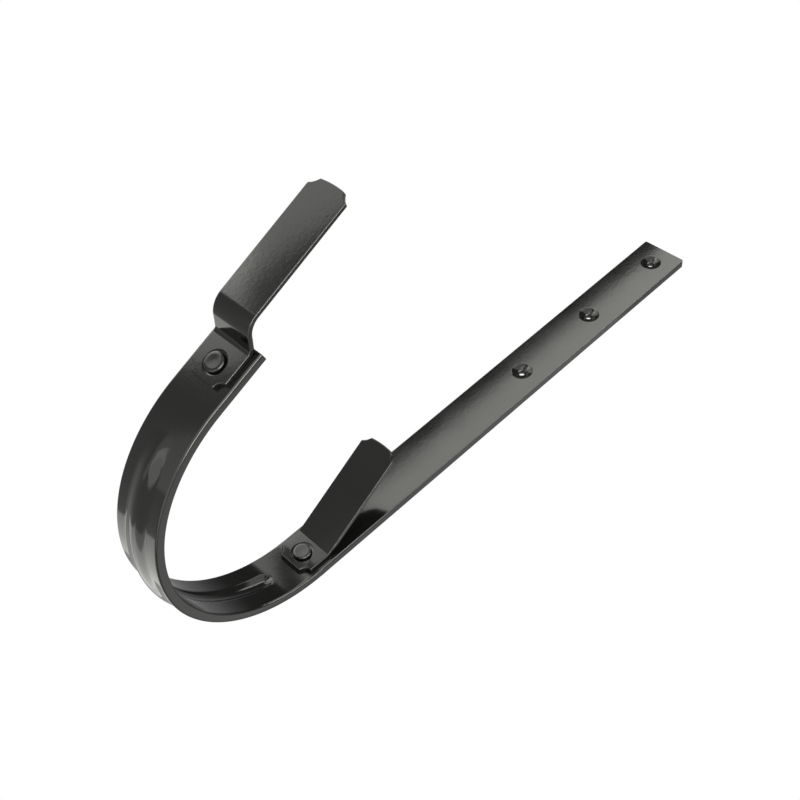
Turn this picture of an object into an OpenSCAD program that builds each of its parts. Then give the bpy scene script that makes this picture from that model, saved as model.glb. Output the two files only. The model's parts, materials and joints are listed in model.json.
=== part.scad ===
/* [Strap] */
// Width of the flat bar
strap_width = 30; // [27:0.5:40]
// Thickness of the flat bar
strap_thickness = 5.2; // [4.5:0.1:6]
// Rounding of the bar's long edges
strap_edge = 1; // [0.5:0.1:1.2]
// Radius of the seat that the gutter lies in
seat_radius = 79; // [70:1:100]
// Lean of the front leg away from upright, in degrees
front_lean = 22.8; // [15:0.1:30]
// Length of the straight front leg
front_leg = 30.8; // [29:0.1:40]
// Height of the shank above the centre of the seat
shank_height = 320.3; // [280:0.1:400]
// Rounding of the corners at the top of the shank
shank_corner = 1.2; // [0.5:0.1:3]

/* [Bead] */
// Width of the ridge along the outside of the seat
ridge_width = 18; // [14:0.5:20]
// Height of the ridge
ridge_height = 2; // [1:0.1:2.5]
// Width of the groove along the inside of the seat
groove_width = 9; // [6:0.5:12]
// Depth of the groove
groove_depth = 1.6; // [0.8:0.1:2]
// How far the bead reaches up the front from the lowest point, in degrees
bead_front = 48; // [30:1:52]
// How far the bead reaches up the back from the lowest point, in degrees
bead_back = 69.8; // [40:0.1:72]

/* [Screw holes] */
// Number of screw holes up the shank
hole_count = 3; // [2:1:4]
// Spacing of the screw holes
hole_pitch = 63.7; // [55:0.1:65]
// Distance from the top of the shank to the nearest screw hole
hole_end = 15; // [12:0.5:25]
// Diameter of the screw hole
hole_d = 4.6; // [4:0.1:5.5]
// Diameter of the countersink for the screw's head
sink_d = 11.6; // [10:0.1:13]
// Depth of the countersink
sink_depth = 1.8; // [1.5:0.1:3]
// Width of the softened lip around the countersink
lip_width = 1; // [0.5:0.1:1.2]
// Depth of the softened lip
lip_depth = 0.3; // [0.1:0.05:0.4]

/* [Clips] */
// Width of both clips
clip_width = 24; // [22:0.5:26]
// Thickness of the clip sheet
clip_thickness = 2.5; // [2:0.1:3]
// Rounding of the clips' long edges
clip_edge = 0.6; // [0.3:0.1:0.8]
// Radius of the scallop cut out of each corner at the riveted end
foot_scallop_radius = 4.4; // [4:0.1:8]
// How far that scallop reaches along the edges
foot_scallop_reach = 4.4; // [3:0.1:5]
// Radius of the scallop cut out of each corner at the tip
tip_scallop_radius = 9; // [5:0.5:14]
// How far that scallop reaches along the edges
tip_scallop_reach = 4.7; // [3:0.1:5.5]
// How far the middle of the tip stands out beyond its corners
tip_crown = 0.5; // [0.2:0.1:1]
// Distance from the start of a clip to its rivet
rivet_inset = 9.3; // [8.5:0.1:10]
// Length of the straight part of each clip that stands off the strap
tab_length = 64.4; // [50:0.1:80]

/* [Front clip] */
// Distance from the front clip's lower end to the bend of the seat
front_clip_start = 6.7; // [6:0.1:7]
// Length of the front clip that lies on the leg
front_foot = 19.6; // [18.5:0.1:20]
// Steepness of the step that carries the clip outward, in degrees
step_angle = 62; // [50:1:70]
// Length of the straight part of the step
step_length = 6.2; // [4:0.1:10]
// Inside radius of the bend at the bottom of the step
step_lower_radius = 2.8; // [2:0.1:4]
// Inside radius of the bend at the top of the step
step_upper_radius = 9; // [5:0.5:12]
// Lean of the front tab away from the leg, in degrees
front_tab_angle = 1; // [0:0.5:5]

/* [Rear clip] */
// Length of the rear clip below the centre of the seat
rear_foot_below = 10.2; // [10:0.1:12]
// Length of the rear clip above the centre of the seat, to its bend
rear_foot_above = 6.8; // [6.5:0.1:9]
// Lean of the rear tab away from the shank, in degrees
rear_tab_angle = 30.2; // [20:0.1:40]
// Inside radius of the rear clip's bend
rear_bend_radius = 2; // [1.5:0.1:4]

/* [Rivets] */
// Diameter of the rivet's shank
rivet_d = 6; // [4:0.1:6.5]
// Diameter of the rivet's head
rivet_head_d = 10.2; // [9:0.1:11]
// Height of the rivet's head above the clip
rivet_head_height = 1.4; // [1:0.1:2]
// Rounding of the head's rim
rivet_rim = 0.8; // [0.3:0.1:0.9]
// Diameter of the countersunk tail, flush with the strap
rivet_tail_d = 9; // [8:0.1:10]
// Width of the ring that the riveting tool presses around the head
tool_ring = 1.1; // [0.5:0.05:1.2]
// Depth of that ring
tool_ring_depth = 0.5; // [0.3:0.1:0.8]

/* [Hidden] */
$fn = 96;

coat = "#26282a";
past = 1;
big = 500;
overturn = 5;

// Where pieces of one bar meet at an angle, one laps into the other and is a hair slimmer, so that they fuse.
hair = 0.005;
lap = 0.05;

outer_radius = seat_radius + strap_thickness;
ridge_round = arc_radius(ridge_width, ridge_height);
groove_round = arc_radius(groove_width, groove_depth);
tail_depth = (rivet_tail_d - rivet_d) / 2;
top_hole = shank_height - hole_end;
origin_height = top_hole - hole_pitch;

// Each step is the length of a straight run, then the turn and the inside radius of the bend after it.
// A turn is positive towards the clip's outer face.
front_path = [
    [front_foot, step_angle, step_lower_radius],
    [step_length, front_tab_angle - step_angle, step_upper_radius],
    [tab_length, 0, 0]
];
rear_start = asin(rear_foot_below / seat_radius);
rear_path = [
    [0, rear_start, seat_radius - clip_thickness],
    [rear_foot_above, rear_tab_angle, rear_bend_radius],
    [tab_length, 0, 0]
];

// The side view is drawn flat, centred on the seat, with the width of the bar along Z.
// This stands it up, with the back of the shank on X = 0 and a screw hole at the origin.
module stand_up() {
    translate([-outer_radius, 0, -origin_height])
        rotate([90, 0, 0])
            children();
}

// Section of a flat bar: its thickness along X from 0, its width along Y, its edges rounded.
// It can be drawn slimmer all round.
module bar_section(width, thickness, edge, slim = 0) {
    round_r = edge - slim;
    across = width / 2 - edge;
    corners = [[edge, -across, 180], [thickness - edge, -across, 270],
               [thickness - edge, across, 0], [edge, across, 90]];
    polygon([
        for (corner = corners, a = [0:30:90])
            [corner[0] + round_r * cos(corner[2] + a), corner[1] + round_r * sin(corner[2] + a)]
    ]);
}

// Carries a section along Y, from one place to another.
module run(from, to) {
    rotate([90, 0, 0])
        translate([0, 0, -to])
            linear_extrude(to - from)
                children();
}

// Moves to the far end of a bend that starts at the origin and runs along Y.
module past_bend(turn, radius) {
    pivot = turn > 0 ? -radius : clip_thickness + radius;
    translate([pivot, 0, 0])
        rotate([0, 0, turn])
            translate([-pivot, 0, 0])
                children();
}

// The bend itself, lapped a little into the runs at both its ends.
module bend(turn, radius) {
    sweep = abs(turn);
    over = lap / radius * 180 / PI;
    if (turn > 0)
        translate([-radius, 0, 0])
            rotate_extrude(start = -over, angle = sweep + 2 * over)
                translate([radius, 0])
                    children();
    else
        translate([clip_thickness + radius, 0, 0])
            rotate_extrude(start = 180 - sweep - over, angle = sweep + 2 * over)
                translate([clip_thickness + radius, 0])
                    mirror([1, 0])
                        children();
}

// A clip's bent sheet, one step of its path after the other.
module bent_sheet(path, i = 0) {
    length = path[i][0];
    turn = path[i][1];
    radius = path[i][2];
    if (length > 0)
        run(0, length)
            bar_section(clip_width, clip_thickness, clip_edge);
    if (turn != 0)
        translate([0, length, 0]) {
            bend(turn, radius)
                bar_section(clip_width, clip_thickness, clip_edge, hair);
            past_bend(turn, radius)
                bent_sheet(path, i + 1);
        }
}

// Moves to the end of a clip's path.
module at_tip(path, i = 0) {
    translate([0, path[i][0], 0])
        if (i == len(path) - 1)
            children();
        else
            past_bend(path[i][1], path[i][2])
                at_tip(path, i + 1)
                    children();
}

// The two round cutters that scallop the corners at an end of a clip, which lies below Y = 0
// or above it. Each passes through the points at its reach from the corner.
module scallops(radius, reach, end) {
    outward = sqrt(pow(radius, 2) / 2 - pow(reach, 2) / 4) - reach / 2;
    for (side = [-1, 1])
        translate([-past, end * outward, side * (clip_width / 2 + outward)])
            rotate([0, 90, 0])
                cylinder(r = radius, h = clip_thickness + 2 * past);
}

// What crowns the tip: all that lies beyond a wide arc across it.
module crown_cutter() {
    crown_r = arc_radius(clip_width - 2 * tip_scallop_reach, tip_crown);
    difference() {
        translate([-past, -clip_width / 4, -clip_width])
            cube([clip_thickness + 2 * past, clip_width / 2, 2 * clip_width]);
        translate([-2 * past, -crown_r, 0])
            rotate([0, 90, 0])
                cylinder(r = crown_r, h = clip_thickness + 4 * past, $fn = 360);
    }
}

// A finished clip, before the hole for its rivet.
module clip(path) {
    difference() {
        bent_sheet(path);
        scallops(foot_scallop_radius, foot_scallop_reach, -1);
        at_tip(path) {
            crown_cutter();
            scallops(tip_scallop_radius, tip_scallop_reach, 1);
        }
    }
}

// Places the front clip: its lower end on the outer face of the front leg.
module on_front_leg() {
    rotate([0, 0, front_lean])
        translate([-outer_radius - clip_thickness, front_clip_start, 0])
            children();
}

// Places the rear clip: its lower end on the inner face of the seat.
module on_seat_back() {
    rotate([0, 0, -rear_start])
        translate([seat_radius - clip_thickness, 0, 0])
            children();
}

// Rivet axes, along +X from the clip's outer face into the strap.
module front_rivet_axis() {
    on_front_leg()
        translate([0, rivet_inset, 0])
            children();
}

module rear_rivet_axis() {
    translate([seat_radius - clip_thickness, rivet_inset - rear_foot_below, 0])
        children();
}

// The hole that a rivet fills, with the countersink for its tail, and the ring around its head.
module rivet_hole() {
    grip = clip_thickness + strap_thickness;
    rotate([0, 90, 0]) {
        translate([0, 0, -past])
            cylinder(d = rivet_d, h = grip + 2 * past);
        translate([0, 0, grip - tail_depth])
            cylinder(d1 = rivet_d, d2 = rivet_tail_d, h = tail_depth);
        translate([0, 0, grip])
            cylinder(d = rivet_tail_d, h = past);
        translate([0, 0, -past])
            cylinder(d = rivet_head_d + 2 * tool_ring, h = past + tool_ring_depth);
    }
}

// A rivet: a flat head with a rounded rim, a shank that fills its hole, and a flush tail.
module rivet() {
    grip = clip_thickness + strap_thickness;
    head_r = rivet_head_d / 2;
    rotate([0, 90, 0]) {
        rotate_extrude() {
            translate([0, rivet_rim - rivet_head_height])
                square([head_r, rivet_head_height + tool_ring_depth - rivet_rim]);
            translate([0, -rivet_head_height])
                square([head_r - rivet_rim, rivet_rim]);
            translate([head_r - rivet_rim, rivet_rim - rivet_head_height])
                circle(r = rivet_rim, $fn = 24);
        }
        translate([0, 0, tool_ring_depth])
            cylinder(d = rivet_d, h = grip - tool_ring_depth - tail_depth);
        translate([0, 0, grip - tail_depth])
            cylinder(d1 = rivet_d, d2 = rivet_tail_d, h = tail_depth);
    }
}

// Radius of a round arc from its width and its rise.
function arc_radius(width, rise) = (pow(width / 2, 2) + pow(rise, 2)) / (2 * rise);

// A circle cut off below a floor: the section of a rib, standing on X.
module rib_section(crown, round_r, floor) {
    intersection() {
        translate([crown - round_r, 0])
            circle(r = round_r);
        translate([floor, -round_r])
            square(2 * round_r);
    }
}

// Half of a rounded rib along the seat, from the dome at its end to the lowest point of the seat.
// It is swept a little past that point and trimmed there. The back half is the one that laps.
module half_rib(crown, round_r, floor, end, side) {
    reach = abs(270 - end) + overturn;
    slim = side > 0 ? hair : 0;
    difference() {
        rotate([0, 0, end]) {
            rotate_extrude(start = side > 0 ? -reach : 0, angle = reach)
                rib_section(crown - slim, round_r - slim, floor);
            rotate([0, 90, 0])
                rotate_extrude(start = 90 - side * 90, angle = 180)
                    intersection() {
                        rotate(90)
                            rib_section(crown - slim, round_r - slim, floor - past / 2);
                        translate([0, -big / 2])
                            square(big);
                    }
        }
        translate([side > 0 ? -big - lap : 0, -big / 2, -big / 2])
            cube(big);
    }
}

// A rounded rib along the seat. Its crown lies at one radius, and it is cut off below another.
module rib(crown, round_r, floor) {
    half_rib(crown, round_r, floor, 270 - bead_front, -1);
    half_rib(crown, round_r, floor, 270 + bead_back, 1);
}

// Screw holes, countersunk from the gutter's side with a softened lip.
module screw_holes() {
    for (i = [0:hole_count - 1])
        translate([seat_radius, top_hole - i * hole_pitch, 0])
            rotate([0, 90, 0]) {
                translate([0, 0, -past])
                    cylinder(d = hole_d, h = strap_thickness + 2 * past);
                cylinder(d1 = sink_d, d2 = hole_d, h = sink_depth);
                cylinder(d1 = sink_d + 2 * lip_width, d2 = sink_d - 2 * lip_depth, h = lip_depth);
            }
}

// The bent bar: the round seat between the front leg and the shank.
module flat_bar() {
    rotate_extrude(start = 180 + front_lean, angle = 180 - front_lean)
        translate([seat_radius, 0])
            bar_section(strap_width, strap_thickness, strap_edge);
    rotate([0, 0, front_lean])
        translate([-outer_radius, 0, 0])
            run(-lap, front_leg)
                bar_section(strap_width, strap_thickness, strap_edge, hair);
    translate([seat_radius, 0, 0])
        run(0, shank_height)
            bar_section(strap_width, strap_thickness, strap_edge);
}

// What rounds off a corner at the top of the shank.
module corner_cutter() {
    difference() {
        cube([strap_thickness + 2 * past, shank_corner + past, shank_corner + past]);
        translate([-past, 0, 0])
            rotate([0, 90, 0])
                cylinder(r = shank_corner, h = strap_thickness + 4 * past, $fn = 48);
    }
}

module strap() {
    color(coat)
        stand_up()
            difference() {
                union() {
                    flat_bar();
                    rib(outer_radius + ridge_height, ridge_round, outer_radius - past);
                }
                rib(seat_radius + groove_depth, groove_round, seat_radius - past);
                screw_holes();
                front_rivet_axis()
                    rivet_hole();
                rear_rivet_axis()
                    rivet_hole();
                for (side = [0, 1])
                    mirror([0, 0, side])
                        translate([
                            seat_radius - past,
                            shank_height - shank_corner,
                            strap_width / 2 - shank_corner
                        ])
                            corner_cutter();
            }
}

module front_clip() {
    color(coat)
        stand_up()
            difference() {
                on_front_leg()
                    clip(front_path);
                front_rivet_axis()
                    rivet_hole();
            }
}

module rear_clip() {
    color(coat)
        stand_up()
            difference() {
                on_seat_back()
                    clip(rear_path);
                rear_rivet_axis()
                    rivet_hole();
            }
}

module front_rivet() {
    color(coat)
        stand_up()
            front_rivet_axis()
                rivet();
}

module rear_rivet() {
    color(coat)
        stand_up()
            rear_rivet_axis()
                rivet();
}

strap();
front_clip();
rear_clip();
front_rivet();
rear_rivet();
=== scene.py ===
import json
import math

import bpy
from mathutils import Euler, Matrix, Quaternion, Vector


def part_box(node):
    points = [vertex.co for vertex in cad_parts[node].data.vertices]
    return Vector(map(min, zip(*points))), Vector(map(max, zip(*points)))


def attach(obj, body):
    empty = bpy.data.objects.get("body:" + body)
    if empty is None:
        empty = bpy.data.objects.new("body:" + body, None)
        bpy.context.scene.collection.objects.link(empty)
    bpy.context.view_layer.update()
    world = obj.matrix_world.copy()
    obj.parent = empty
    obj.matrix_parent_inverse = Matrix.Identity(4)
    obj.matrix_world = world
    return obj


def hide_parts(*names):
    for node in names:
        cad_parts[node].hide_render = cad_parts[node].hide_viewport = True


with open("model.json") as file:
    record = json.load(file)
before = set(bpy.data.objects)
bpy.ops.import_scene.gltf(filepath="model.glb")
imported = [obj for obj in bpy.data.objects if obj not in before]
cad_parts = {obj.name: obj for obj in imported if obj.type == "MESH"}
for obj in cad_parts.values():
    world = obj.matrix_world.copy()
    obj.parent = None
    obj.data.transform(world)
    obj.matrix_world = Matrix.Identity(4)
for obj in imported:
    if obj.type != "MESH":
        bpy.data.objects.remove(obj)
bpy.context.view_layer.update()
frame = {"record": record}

# --- The studio ----------------------------------------------------------------------------------
# A white room. The camera stands in front of the seat and below it, and is rolled so that the
# shank runs up to the right.
camera_at = Vector((-0.51863, -0.31838, -0.42360))
camera_turn = Euler([math.radians(a) for a in (126.953, -44.886, -83.094)])
camera_data = bpy.data.cameras.new("studio_camera")
camera_data.lens = 51.9
camera_data.sensor_width = 36
camera = bpy.data.objects.new("studio_camera", camera_data)
camera.location = camera_at
camera.rotation_euler = camera_turn
bpy.context.scene.collection.objects.link(camera)
bpy.context.scene.camera = camera

bpy.context.scene.view_settings.view_transform = "Standard"


class Wire:
    """A shader socket that takes part in arithmetic: an expression on wires adds its Math nodes."""

    def __init__(self, tree, socket=None):
        self.tree = tree
        self.socket = socket

    def node(self, kind, settings, values, output=0):
        """Adds a node: its settings first, then the values or the wires of its sockets."""
        node = self.tree.nodes.new(kind)
        for name, setting in settings.items():
            setattr(node, name, setting)
        for name, value in values.items():
            if isinstance(value, Wire):
                self.tree.links.new(value.socket, node.inputs[name])
            else:
                node.inputs[name].default_value = value
        return Wire(self.tree, node.outputs[output])

    def maths(self, operation, first, second):
        return self.node("ShaderNodeMath", {"operation": operation}, {0: first, 1: second})

    def __add__(self, other):
        return self.maths("ADD", self, other)

    def __radd__(self, other):
        return self.maths("ADD", other, self)

    def __sub__(self, other):
        return self.maths("SUBTRACT", self, other)

    def __rsub__(self, other):
        return self.maths("SUBTRACT", other, self)

    def __mul__(self, other):
        return self.maths("MULTIPLY", self, other)

    def __rmul__(self, other):
        return self.maths("MULTIPLY", other, self)


# The sweep behind the bracket is white, and dims towards the camera's side of the room.
world = bpy.data.worlds.new("studio")
world.use_nodes = True
room = Wire(world.node_tree)
towards = room.node("ShaderNodeTexCoord", {}, {}, "Generated")
behind = room.node("ShaderNodeSeparateXYZ", {}, {"Vector": towards}, "X")
sweep = room.node("ShaderNodeMapRange", {}, {
    "Value": behind,
    "From Min": -0.1,
    "From Max": 0.3,
}, "Result")
seen = room.node("ShaderNodeLightPath", {}, {}, "Is Camera Ray")
dim_level, sweep_level = 0.12, 0.38
level = dim_level + sweep * sweep_level
level = level + seen * (1.0 - level)
background = world.node_tree.nodes["Background"]
background.inputs["Color"].default_value = (1, 1, 1, 1)
world.node_tree.links.new(level.socket, background.inputs["Strength"])
bpy.context.scene.world = world


def softbox(name, place, aim, roll, width, height, brightness):
    """A flat lit panel at a place, facing the point it is aimed at, and rolled by some degrees.

    Its brightness is that of its face, whatever its size.
    """
    panel = bpy.data.lights.new(name, "AREA")
    panel.shape = "RECTANGLE"
    panel.size = width
    panel.size_y = height
    panel.energy = brightness * math.pi * width * height
    panel.color = (1, 1, 0.95)
    box = bpy.data.objects.new(name, panel)
    facing = (Vector(aim) - Vector(place)).to_track_quat("-Z", "Y")
    box.rotation_euler = (facing @ Quaternion((0, 0, 1), math.radians(roll))).to_euler()
    box.location = place
    bpy.context.scene.collection.objects.link(box)


# A search for the right reflections placed most of these softboxes, and their numbers were rounded.
# A strip lights the near half of the shank and leaves its far edge dark. The tabs mirror the next two.
softbox("strip_over_shank", (-0.30, 0.13, 0.13), (0.00, -0.06, 0.00), 0, 0.10, 0.40, 3.8)
softbox("far_side", (-0.30, 0.40, -0.15), (0.00, 0.10, -0.20), 15, 0.35, 0.55, 1.9)
softbox("in_front", (-0.65, 0.50, -0.20), (-0.50, 0.20, -0.40), -20, 0.40, 0.50, 2.2)
# The seat mirrors these, from under the front leg round to behind the bracket.
softbox("under_leg", (-0.35, 0.20, -0.60), (-0.10, -0.10, -0.40), 45, 0.45, 0.15, 0.5)
softbox("near_side", (-0.30, -0.15, -0.35), (-0.20, 0.05, 0.00), 20, 0.50, 0.50, 1.3)
softbox("near_front", (-0.40, -0.20, -0.20), (-0.05, -0.10, -0.35), -15, 0.65, 0.80, 1.3)
softbox("under_seat", (0.15, 0.05, -0.55), (-0.05, -0.15, -0.25), 25, 0.25, 0.30, 0.6)
softbox("behind_low", (0.35, 0.25, -0.60), (0.10, 0.15, -0.25), -35, 0.50, 0.45, 1.1)
softbox("behind_near", (0.70, -0.60, 0.20), (0.40, -0.35, 0.15), 0, 0.30, 0.90, 0.5)
# A tall, narrow, bright one beside the bracket draws the crisp lines along its rounded edges.
softbox("edge_light", (-0.30, -0.70, 0.00), (-0.30, 0.00, 0.00), 0, 0.20, 1.40, 18)

# The floor is a light table, which stays pale from every side.
floor_size, floor_height = 10, -1.5
bpy.ops.mesh.primitive_plane_add(size=floor_size, location=(0, 0, floor_height))
floor = bpy.context.object
floor.name = "studio_floor"
floor_paint = bpy.data.materials.new("floor_paint")
floor_paint.use_nodes = True
paint = floor_paint.node_tree.nodes["Principled BSDF"]
paint.inputs["Base Color"].default_value = (0.3, 0.3, 0.3, 1)
paint.inputs["Emission Color"].default_value = (1, 1, 0.98, 1)
paint.inputs["Emission Strength"].default_value = 0.38
paint.inputs["Roughness"].default_value = 0.9
floor.data.materials.append(floor_paint)

# --- The strap -----------------------------------------------------------------------------------
# One length of flat steel bar, bent round to the gutter's seat with a short leg in front and a long
# shank behind. A bead is pressed along the seat to stiffen it, and the shank is drilled and
# countersunk for three screws. It is powder coated after all the rest is done.
mm = 0.001
shank_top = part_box("strap")[1].z
seat_radius = 79 * mm
strap_thickness = 5.2 * mm
strap_width = 30 * mm
strap_edge = 1 * mm
shank_length = 320.3 * mm
shank_corner = 1.2 * mm
front_lean = math.radians(22.8)
front_leg = 30.8 * mm
sheared_edge = 0.5 * mm
outer_radius = seat_radius + strap_thickness
seat_centre = Vector((-outer_radius, 0, shank_top - shank_length))
seat_bottom = 270
bead_front, bead_back = 48, 69.8
bead_start = math.radians(seat_bottom - bead_front)
bead_end = math.radians(seat_bottom + bead_back)
ridge_width, ridge_height = 18 * mm, 2 * mm
groove_width, groove_depth = 9 * mm, 1.6 * mm
bead_grid = 0.5 * mm
hole_radius = 2.3 * mm
sink_radius, sink_depth = 5.8 * mm, 1.8 * mm
sink_lip = 0.9 * mm
sink_lip_steepness = 0.35
tolerance, angle_tolerance = 0.01 * mm, 0.001
quarter_turn = [math.radians(degrees) for degrees in range(0, 91, 15)]


def add_section(name, centre, along, across, thickness, width):
    """Starts a bar or sheet as its cut end: a rectangle at a centre, square to the way it will run."""
    bpy.ops.object.select_all(action="DESELECT")
    bpy.ops.mesh.primitive_plane_add(size=1)
    piece = bpy.context.object
    piece.name = piece.data.name = name
    turn = Matrix((across, along.cross(across), along)).transposed().to_4x4()
    piece.matrix_world = Matrix.Translation(centre) @ turn @ Matrix.Diagonal((thickness, width, 1, 1))
    bpy.ops.object.transform_apply(location=True, rotation=True, scale=True)
    bpy.ops.object.mode_set(mode="EDIT")
    bpy.ops.mesh.select_mode(type="FACE")
    return piece


def run_on(centre, along, across, thickness, path, facets_per_degree):
    """Carries the selected end face on through straight runs and bends.

    A step of the path is (length, turn, inside radius), and a turn is positive towards `across`.
    Gives back where the bar ends, and the directions it has there.
    """
    for length, turn, radius in path:
        if length:
            bpy.ops.mesh.extrude_region_move(TRANSFORM_OT_translate={"value": along * length})
            centre = centre + along * length
        if turn:
            lever = across * math.copysign(thickness / 2 + radius, turn)
            axis = along.cross(across)
            pivot = centre + lever
            steps = round(abs(math.degrees(turn)) * facets_per_degree)
            bpy.ops.mesh.spin(steps=steps, angle=-turn, center=pivot, axis=axis)
            swing = Matrix.Rotation(turn, 3, axis)
            centre = pivot - swing @ lever
            along = swing @ along
            across = swing @ across
    bpy.ops.mesh.select_all(action="SELECT")
    bpy.ops.mesh.normals_make_consistent(inside=False)
    return centre, along, across


def pick(kind, test):
    """Selects the vertices, edges or polygons of the piece that pass a test, and nothing else."""
    mesh = bpy.context.object.data
    bpy.ops.object.mode_set(mode="OBJECT")
    kinds = ("vertices", "edges", "polygons")
    bpy.context.tool_settings.mesh_select_mode = [kind == each for each in kinds]
    for each in kinds:
        part = getattr(mesh, each)
        part.foreach_set("select", [False] * len(part))
    for element in getattr(mesh, kind):
        element.select = not element.hide and bool(test(element))
    bpy.ops.object.mode_set(mode="EDIT")


def ends_of(edge):
    vertices = bpy.context.object.data.vertices
    return [vertices[i].co for i in edge.vertices]


def turned(name, at, along, profile, facets=96):
    """A solid turned on a lathe from a profile of (distance along the axis, radius)."""
    start, radius = profile[0]
    bpy.ops.object.select_all(action="DESELECT")
    bpy.ops.mesh.primitive_circle_add(vertices=facets, radius=radius, fill_type="NGON")
    piece = bpy.context.object
    piece.name = piece.data.name = name
    turn = along.to_track_quat("Z", "Y").to_matrix().to_4x4()
    piece.matrix_world = Matrix.Translation(at + along * start) @ turn
    bpy.ops.object.transform_apply(location=True, rotation=True, scale=True)
    bpy.ops.object.mode_set(mode="EDIT")
    bpy.ops.mesh.select_mode(type="FACE")
    for step, width in profile[1:]:
        bpy.ops.mesh.extrude_region_move(TRANSFORM_OT_translate={"value": along * (step - start)})
        bpy.ops.transform.resize(value=[width / radius] * 3, center_override=at + along * step)
        start, radius = step, width
    bpy.ops.mesh.select_all(action="SELECT")
    bpy.ops.mesh.normals_make_consistent(inside=False)
    bpy.ops.object.mode_set(mode="OBJECT")
    return piece


def cut(piece, cutter):
    """Cuts the piece with a cutter, which is then thrown away."""
    bpy.ops.object.select_all(action="DESELECT")
    bpy.context.view_layer.objects.active = piece
    piece.select_set(True)
    boolean = piece.modifiers.new("cut", "BOOLEAN")
    boolean.operation = "DIFFERENCE"
    boolean.solver = "EXACT"
    boolean.object = cutter
    bpy.ops.object.modifier_apply(modifier="cut")
    bpy.data.objects.remove(cutter)


def finish_mesh(piece):
    """Smooth shading that keeps flat faces flat right up to their rounded edges."""
    piece.modifiers.new("flat_faces", "WEIGHTED_NORMAL").weight = 90
    bpy.ops.object.shade_smooth()
    bpy.ops.object.modifier_apply(modifier="flat_faces")


down = Vector((0, 0, -1))
forward = Vector((-1, 0, 0))
top_centre = Vector((-strap_thickness / 2, 0, shank_top))
strap = add_section("strap_bar", top_centre, down, forward, strap_thickness, strap_width)
leg_end, leg_up, leg_inward = run_on(top_centre, down, forward, strap_thickness, [
    (shank_length, math.pi - front_lean, seat_radius),
    (front_leg, 0, 0),
], facets_per_degree=2)


def at_side(edge):
    start, end = ends_of(edge)
    return abs(abs(start.y + end.y) - strap_width) < tolerance


def across_thickness(edge):
    start, end = ends_of(edge)
    return abs((start - end).length - strap_thickness) < tolerance


def at_shank_top(edge):
    return all(end.z > shank_top - tolerance for end in ends_of(edge))


def at_leg_end(edge):
    return all(abs((end - leg_end).dot(leg_up)) < tolerance for end in ends_of(edge))


def at_an_end(edge):
    return at_shank_top(edge) or at_leg_end(edge)


pick("edges", lambda edge: at_shank_top(edge) and across_thickness(edge))
bpy.ops.mesh.bevel(offset=shank_corner, segments=6, affect="EDGES")
pick("edges", lambda edge: at_side(edge) and not across_thickness(edge) and not at_an_end(edge))
bpy.ops.mesh.bevel(offset=strap_edge, segments=6, affect="EDGES", clamp_overlap=False)
pick("edges", at_an_end)
bpy.ops.mesh.bevel(offset=sheared_edge, segments=4, affect="EDGES", clamp_overlap=False)


# The bead is pressed outward along the middle of a fine grid, and the metal around it follows.
middle_radius = seat_radius + strap_thickness / 2
flat_width = strap_width - 2 * strap_edge


def out_from_seat(place):
    return math.hypot(place.x - seat_centre.x, place.z - seat_centre.z)


def round_seat(place):
    return math.atan2(place.z - seat_centre.z, place.x - seat_centre.x) % (2 * math.pi)


def across_seat(edge):
    start, end = ends_of(edge)
    past_leg = round_seat((start + end) / 2) > math.pi + front_lean + angle_tolerance
    below_shank = start.z < seat_centre.z - mm
    return past_leg and below_shank and abs(start.y - end.y) > strap_width / 2


def on_face(place, side):
    """Whether a place is on the outer face of the seat (1) or on the inner one (-1)."""
    return (out_from_seat(place) - middle_radius) * side > 0


def on_bead(place, inset):
    return bead_start + inset < round_seat(place) < bead_end - inset and abs(place.y) < tolerance


pick("edges", across_seat)
bpy.ops.mesh.subdivide(number_cuts=round(flat_width / bead_grid) - 1)
# The ridge rises in three steps at its ends, and the groove in one.
for side, width, push, falloff, insets in (
    (1, ridge_width, ridge_height, "SMOOTH", (0, 4, 8)),
    (-1, groove_width, -groove_depth, "INVERSE_SQUARE", (0,)),
):
    pick("vertices", lambda v: on_face(v.co, -side))
    bpy.ops.mesh.hide()
    for inset in insets:
        pick("vertices", lambda v: on_face(v.co, side) and on_bead(v.co, math.radians(inset)))
        bpy.ops.transform.shrink_fatten(
            value=push / len(insets),
            use_proportional_edit=True,
            proportional_edit_falloff=falloff,
            proportional_size=width / 2,
        )
    bpy.ops.mesh.reveal(select=False)
bpy.ops.object.mode_set(mode="OBJECT")

# Each screw hole is drilled through and countersunk, and its lip is softened by the coat.
inward_face = Vector((-strap_thickness, 0, 0))
for mount in frame["record"]["mounts"]:
    if mount["kind"] != "bore":
        continue
    profile = [
        (-mm, sink_radius + sink_lip),
        *[(sink_lip * (1 - math.cos(a)) * sink_lip_steepness, sink_radius + sink_lip * (1 - math.sin(a)))
          for a in quarter_turn],
        (sink_depth, hole_radius),
        (strap_thickness + mm, hole_radius),
    ]
    cut(strap, turned("drill", inward_face + Vector(mount["pos_m"]), -forward, profile))

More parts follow.
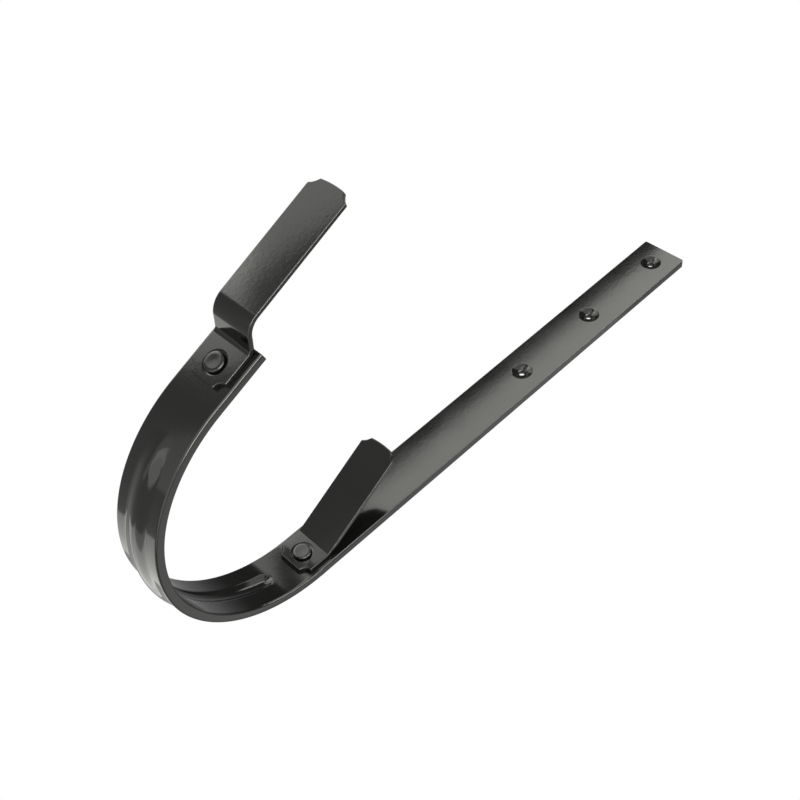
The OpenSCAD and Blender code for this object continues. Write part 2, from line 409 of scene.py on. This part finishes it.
# The rivets of the clips go through the strap and are closed in countersinks at its back.
clip_thickness = 2.5 * mm
rivet_inset = 9.3 * mm
rivet_radius = 3 * mm
tail_radius, tail_depth = 4.5 * mm, 1.5 * mm
tail_land = 0.1 * mm
grip = clip_thickness + strap_thickness
front_clip_start = 6.7 * mm
rear_foot_below = 10.2 * mm
leg_base = leg_end - leg_up * front_leg
clip_stand_off = leg_inward * (strap_thickness + clip_thickness) / 2
front_clip_at = leg_base + leg_up * front_clip_start - clip_stand_off
front_rivet_at = front_clip_at + leg_up * rivet_inset - leg_inward * clip_thickness / 2
rear_rivet_at = seat_centre + Vector((seat_radius - clip_thickness, 0, rivet_inset - rear_foot_below))
for rivet_at, inward in ((front_rivet_at, leg_inward), (rear_rivet_at, -forward)):
    cut(strap, turned("drill", rivet_at, inward, [
        (0, rivet_radius),
        (grip - tail_depth, rivet_radius),
        (grip - tail_land, tail_radius),
        (grip, tail_radius + tail_land),
        (grip + mm, tail_radius + tail_land),
    ]))

finish_mesh(strap)
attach(strap, "root")
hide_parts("strap")


coat_tone, coat_roughness = 0.0025, 0.11
tone_swing, roughness_swing = 0.2, 0.08
clouds_per_metre, peel_per_metre, grain_per_metre = 35, 520, 2600
grain_height = 0.12
peel_height = 0.02 * mm
peel_strength = 0.6


def powder_coat(name):
    """Black powder coat: a fine orange peel, with a faint cloudiness in its colour and its gloss."""
    material = bpy.data.materials.new(name)
    material.use_nodes = True
    tree = material.node_tree
    shader = tree.nodes["Principled BSDF"]
    wire = Wire(tree)
    place = wire.node("ShaderNodeTexCoord", {}, {}, "Object")

    def noise(scale, detail):
        values = {"Vector": place, "Scale": scale, "Detail": detail}
        return wire.node("ShaderNodeTexNoise", {}, values, "Fac")

    cloud = noise(clouds_per_metre, 3)
    dark, light = [
        (tone, tone, tone * 0.96, 1)
        for tone in (coat_tone * (1 - tone_swing), coat_tone * (1 + tone_swing))
    ]
    colour = wire.node("ShaderNodeMix", {"data_type": "RGBA"}, {"Factor": cloud, 6: dark, 7: light}, 2)
    tree.links.new(colour.socket, shader.inputs["Base Color"])
    roughness = coat_roughness + (cloud - 0.5) * roughness_swing
    tree.links.new(roughness.socket, shader.inputs["Roughness"])
    peel = noise(peel_per_metre, 2)
    grain = noise(grain_per_metre, 1)
    bump = wire.node("ShaderNodeBump", {}, {
        "Height": peel + grain * grain_height,
        "Strength": peel_strength,
        "Distance": peel_height,
    }, "Normal")
    tree.links.new(bump.socket, shader.inputs["Normal"])
    return material


strap.data.materials.append(powder_coat("strap_coat"))

# --- The clips -----------------------------------------------------------------------------------
# Two strips of 2.5 mm sheet, punched with scalloped corners and a crowned tip, bent in a press, and
# riveted on: one outside the front leg, the other inside the back of the seat. Their tabs are folded
# over the gutter's bead and its back edge, and so are left straight.
clip_width = 24 * mm
clip_edge = 0.5 * mm
clip_tab = 64.4 * mm
foot_scallop = (4.4 * mm, 4.4 * mm)
tip_scallop = (9 * mm, 4.7 * mm)
tip_crown = 0.5 * mm
tool_ring_radius, tool_ring_depth = 6.2 * mm, 0.5 * mm
tool_ring_lip = 0.4 * mm
bend_facets_per_degree = 0.27
shortest_edge = 0.35 * mm
sharpest_bend = math.radians(40)

front_foot, front_step = 19.6 * mm, 6.2 * mm
step_degrees, tab_lean_degrees = 62, 1
step_radius, tab_radius = 2.8 * mm, 9 * mm
rear_rise, rear_bend, rear_radius = 6.8 * mm, math.radians(30.2), 2 * mm


def scallop(clip, end, along, across, radius, reach):
    """Punches the two corners at one end of a clip. `along` points out of that end."""
    outward = math.sqrt(radius ** 2 / 2 - reach ** 2 / 4) - reach / 2
    past = 4 * mm
    facets = 32 if radius < 6 * mm else 64
    for side in (-1, 1):
        corner = end + Vector((0, side * (clip_width / 2 + outward), 0)) + along * outward
        cut(clip, turned("punch", corner, across, [(-past, radius), (past, radius)], facets))


def crown(clip, tip, along, across):
    """Trims the tip to a wide arc."""
    half_tip = clip_width / 2 - tip_scallop[1]
    crown_radius = (half_tip ** 2 + tip_crown ** 2) / (2 * tip_crown)
    past = 4
    blank = add_section("punch", tip - across * past * mm, across, along, 3 * past * mm, 2 * clip_width)
    bpy.ops.mesh.extrude_region_move(TRANSFORM_OT_translate={"value": across * 2 * past * mm})
    bpy.ops.mesh.select_all(action="SELECT")
    bpy.ops.mesh.normals_make_consistent(inside=False)
    bpy.ops.object.mode_set(mode="OBJECT")
    arc = [(-(past + 1) * mm, crown_radius), ((past + 1) * mm, crown_radius)]
    cut(blank, turned("arc", tip - along * crown_radius, across, arc, 256))
    cut(clip, blank)


def make_clip(name, start, along, across, path, rivet_at, rivet_outward):
    clip = add_section(name, start, along, across, clip_thickness, clip_width)
    tip, tip_along, tip_across = run_on(
        start, along, across, clip_thickness, path, bend_facets_per_degree)
    bpy.ops.object.mode_set(mode="OBJECT")
    scallop(clip, start, -along, across, *foot_scallop)
    crown(clip, tip, tip_along, tip_across)
    scallop(clip, tip, tip_along, tip_across, *tip_scallop)
    # Shorter edges beside the scallops would make the rounding overlap itself.
    bpy.ops.object.mode_set(mode="EDIT")
    bpy.ops.mesh.select_all(action="SELECT")
    bpy.ops.mesh.remove_doubles(threshold=shortest_edge)
    bpy.ops.object.mode_set(mode="OBJECT")
    rounding = clip.modifiers.new("rounding", "BEVEL")
    rounding.width = clip_edge
    rounding.segments = 4
    rounding.limit_method = "ANGLE"
    rounding.angle_limit = sharpest_bend
    rounding.use_clamp_overlap = False
    bpy.ops.object.modifier_apply(modifier="rounding")
    cut(clip, turned("drill", rivet_at, -rivet_outward, [
        (-mm, tool_ring_radius + tool_ring_lip),
        *[(tool_ring_lip * (0.95 - math.cos(a)), tool_ring_radius + tool_ring_lip * (1 - math.sin(a)))
          for a in quarter_turn],
        (tool_ring_depth, tool_ring_radius - 0.1 * mm),
        (tool_ring_depth, rivet_radius),
        (2 * clip_thickness, rivet_radius),
    ]))
    finish_mesh(clip)
    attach(clip, "root")
    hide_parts(name.removesuffix("_sheet"))
    clip.data.materials.append(clip_coat)


clip_coat = powder_coat("clip_coat")
make_clip("front_clip_sheet", front_clip_at, leg_up, -leg_inward, [
    (front_foot, math.radians(step_degrees), step_radius),
    (front_step, math.radians(tab_lean_degrees - step_degrees), tab_radius),
    (clip_tab, 0, 0),
], front_rivet_at, -leg_inward)

rear_start = math.asin(rear_foot_below / seat_radius)
rear_outward = Vector((-math.cos(rear_start), 0, math.sin(rear_start)))
rear_up = Vector((math.sin(rear_start), 0, math.cos(rear_start)))
rear_clip_at = seat_centre - rear_outward * (seat_radius - clip_thickness / 2)
make_clip("rear_clip_sheet", rear_clip_at, rear_up, rear_outward, [
    (0, rear_start, seat_radius - clip_thickness),
    (rear_rise, rear_bend, rear_radius),
    (clip_tab, 0, 0),
], rear_rivet_at, forward)

# --- The rivets ----------------------------------------------------------------------------------
# Steel rivets with a flat head. The riveting tool leaves a pressed ring around each head and spreads
# the tail into its countersink, flush with the back of the strap.
head_radius, head_height = 5.1 * mm, 1.4 * mm
head_rim = 0.8 * mm
head_flat = head_radius - head_rim
head_hollow = 0.08 * mm
rivet_coat = powder_coat("rivet_coat")
for name, rivet_at, inward in (
    ("front_rivet", front_rivet_at, leg_inward),
    ("rear_rivet", rear_rivet_at, -forward),
):
    rivet = turned(name + "_steel", rivet_at, inward, [
        (head_hollow - head_height, 0.3 * mm),
        (0.85 * head_hollow - head_height, 0.35 * head_flat),
        (0.3 * head_hollow - head_height, 0.75 * head_flat),
        *[(head_rim * (1 - math.cos(a)) - head_height, head_flat + head_rim * math.sin(a))
          for a in quarter_turn],
        (tool_ring_depth, head_radius),
        (tool_ring_depth, rivet_radius),
        (grip - tail_depth, rivet_radius),
        (grip - tail_land, tail_radius - 0.05 * mm),
        (grip, tail_radius - 0.15 * mm),
    ])
    finish_mesh(rivet)
    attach(rivet, "root")
    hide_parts(name)
    rivet.data.materials.append(rivet_coat)
